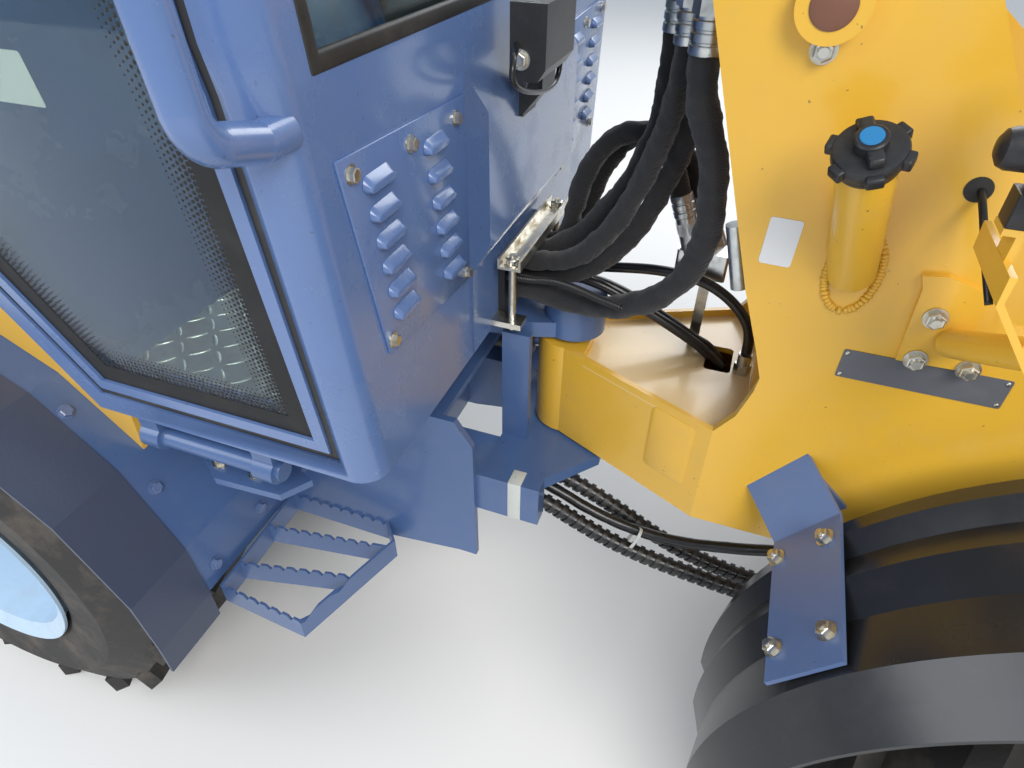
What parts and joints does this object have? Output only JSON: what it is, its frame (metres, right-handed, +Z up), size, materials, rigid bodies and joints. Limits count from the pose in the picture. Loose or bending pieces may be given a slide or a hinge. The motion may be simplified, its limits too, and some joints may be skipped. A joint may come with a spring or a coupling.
{
  "type": "compact wheel loader",
  "caption": "Articulated compact wheel loader with a glazed cab, yellow front frame, single boom and bucket, hydraulic cylinders and lugged tyres.",
  "frame": {"origin": "centre of the footprint on the ground", "axes": "+X forward, +Y to the left side of the machine, +Z up"},
  "size_m": [3.547, 1.03, 2.1567],
  "materials": {
    "blue_paint": "gloss slate blue paint",
    "yellow_paint": "gloss warm yellow paint",
    "yellow_shell": "yellow laminate shell",
    "black_plastic": "matt black moulding",
    "gloss_black": "gloss black moulding",
    "tyre": "dull black rubber",
    "rim_paint": "pale blue white paint",
    "glass": "tinted safety glass",
    "rubber": "black rubber",
    "steel": "zinc plated steel",
    "chrome": "hard chrome rod",
    "grey_paint": "grey paint",
    "cast": "dark casting",
    "seat_cover": "black seat cover",
    "lamp_lens": "red lens"
  },
  "bodies": {
    "rear": {"rear_frame": "blue_paint", "rear_mudguards": "blue_paint", "fender_strips": "black_plastic", "steps": "blue_paint", "rear_axle": "cast", "cab_frame": "blue_paint", "cab_glass": "glass", "quarter_glass": "glass", "cab_mounts": "rubber", "grab_handles": "blue_paint", "seat": "seat_cover", "console": "black_plastic", "steering_wheel": "black_plastic", "engine": "cast", "body_sides": "yellow_paint", "counterweight": "blue_paint", "tail_lamps": "lamp_lens", "louvre_panels": "black_plastic", "hose_flap": "rubber", "hose_clamp": "steel", "work_lamp": "black_plastic", "sill_tubes": "blue_paint", "roof_cap": "blue_paint"},
    "front": {"front_frame": "yellow_paint", "filler_cap": "black_plastic", "front_fenders": "gloss_black", "front_axle": "cast", "fender_brackets": "grey_paint", "sleeved_hoses": "rubber", "plain_hoses": "rubber", "lower_hoses": "rubber", "hose_fittings": "steel", "lamp_brackets": "black_plastic", "head_lamps": "black_plastic"},
    "boom": {"boom": "yellow_paint"},
    "bucket": {"carrier": "grey_paint", "bucket": "grey_paint"},
    "lift_barrel": {"lift_barrel": "yellow_paint"},
    "lift_rod": {"lift_rod": "chrome"},
    "tilt_barrel": {"tilt_barrel": "yellow_paint"},
    "tilt_rod": {"tilt_rod": "chrome"},
    "steer_barrel": {"steer_barrel": "gloss_black"},
    "steer_rod": {"steer_rod": "chrome"},
    "door_right": {"door_right": "blue_paint", "door_glass_right": "glass"},
    "door_left": {"door_left": "blue_paint", "door_glass_left": "glass"},
    "hood": {"engine_hood": "yellow_shell"},
    "wheel_front_right": {"tyre_front_right": "tyre", "rim_front_right": "rim_paint"},
    "wheel_front_left": {"tyre_front_left": "tyre", "rim_front_left": "rim_paint"},
    "wheel_rear_right": {"tyre_rear_right": "tyre", "rim_rear_right": "rim_paint"},
    "wheel_rear_left": {"tyre_rear_left": "tyre", "rim_rear_left": "rim_paint"}
  },
  "joints": [
    {"name": "steering", "type": "hinge", "parent": "rear", "child": "front", "pos_m": [-0.2885, 0, 0.62], "axis": [0, 0, 1], "range_deg": [-40, 40], "deforming": ["sleeved_hoses", "plain_hoses", "lower_hoses"]},
    {"name": "boom_lift", "type": "hinge", "parent": "front", "child": "boom", "pos_m": [-0.0685, 0, 1.15], "axis": [0, -1, 0], "range_deg": [0, 78]},
    {"name": "bucket_tilt", "type": "hinge", "parent": "boom", "child": "bucket", "pos_m": [1.1115, 0, 0.27], "axis": [0, -1, 0], "range_deg": [-95, 20]},
    {"name": "lift_barrel_swing", "type": "hinge", "parent": "front", "child": "lift_barrel", "pos_m": [0.0115, 0, 0.588], "axis": [0, -1, 0], "range_deg": [-0.1, 0.412]},
    {"name": "lift_rod_slide", "type": "slide", "parent": "lift_barrel", "child": "lift_rod", "axis": [0.2229, 0, 0.9748], "range_m": [-0.001, 0.3053]},
    {"name": "tilt_barrel_swing", "type": "hinge", "parent": "boom", "child": "tilt_barrel", "pos_m": [0.47373, 0, 0.92027], "axis": [0, -1, 0], "range_deg": [-0.67, 0.22]},
    {"name": "tilt_rod_slide", "type": "slide", "parent": "tilt_barrel", "child": "tilt_rod", "axis": [0.7839, 0, -0.6209], "range_m": [-0.0403, 0.1875]},
    {"name": "steer_barrel_swing", "type": "hinge", "parent": "rear", "child": "steer_barrel", "pos_m": [-0.7085, 0.1, 0.59], "axis": [0, 0, 1], "range_deg": [-1.1, 1.1]},
    {"name": "steer_rod_slide", "type": "slide", "parent": "steer_barrel", "child": "steer_rod", "axis": [0.9996, 0.0276, 0], "range_m": [-0.0733, 0.0733]},
    {"name": "door_right_hinge", "type": "hinge", "parent": "rear", "child": "door_right", "pos_m": [-0.9305, -0.458, 1.4], "axis": [0, 0, -1], "range_deg": [0, 95]},
    {"name": "door_left_hinge", "type": "hinge", "parent": "rear", "child": "door_left", "pos_m": [-0.9305, 0.458, 1.4], "axis": [0, 0, 1], "range_deg": [0, 95]},
    {"name": "hood_hinge", "type": "hinge", "parent": "rear", "child": "hood", "pos_m": [-1.1755, 0, 1.153], "axis": [0, 1, 0], "range_deg": [0, 50]},
    {"name": "wheel_front_right_spin", "type": "hinge", "parent": "front", "child": "wheel_front_right", "pos_m": [0.4665, -0.354, 0.38], "axis": [0, 1, 0], "continuous": true},
    {"name": "wheel_front_left_spin", "type": "hinge", "parent": "front", "child": "wheel_front_left", "pos_m": [0.4665, 0.354, 0.38], "axis": [0, 1, 0], "continuous": true},
    {"name": "wheel_rear_right_spin", "type": "hinge", "parent": "rear", "child": "wheel_rear_right", "pos_m": [-1.1355, -0.354, 0.38], "axis": [0, 1, 0], "continuous": true},
    {"name": "wheel_rear_left_spin", "type": "hinge", "parent": "rear", "child": "wheel_rear_left", "pos_m": [-1.1355, 0.354, 0.38], "axis": [0, 1, 0], "continuous": true}
  ],
  "couplings": [
    {"joint": "lift_barrel_swing", "follows": "boom_lift", "ratio": 0.004},
    {"joint": "lift_rod_slide", "follows": "boom_lift", "m_per_rad": 0.2235},
    {"joint": "tilt_barrel_swing", "follows": "bucket_tilt", "ratio": 0.006},
    {"joint": "tilt_rod_slide", "follows": "bucket_tilt", "m_per_rad": -0.1125},
    {"joint": "steer_barrel_swing", "follows": "steering", "ratio": 0.025},
    {"joint": "steer_rod_slide", "follows": "steering", "m_per_rad": -0.1036}
  ]
}
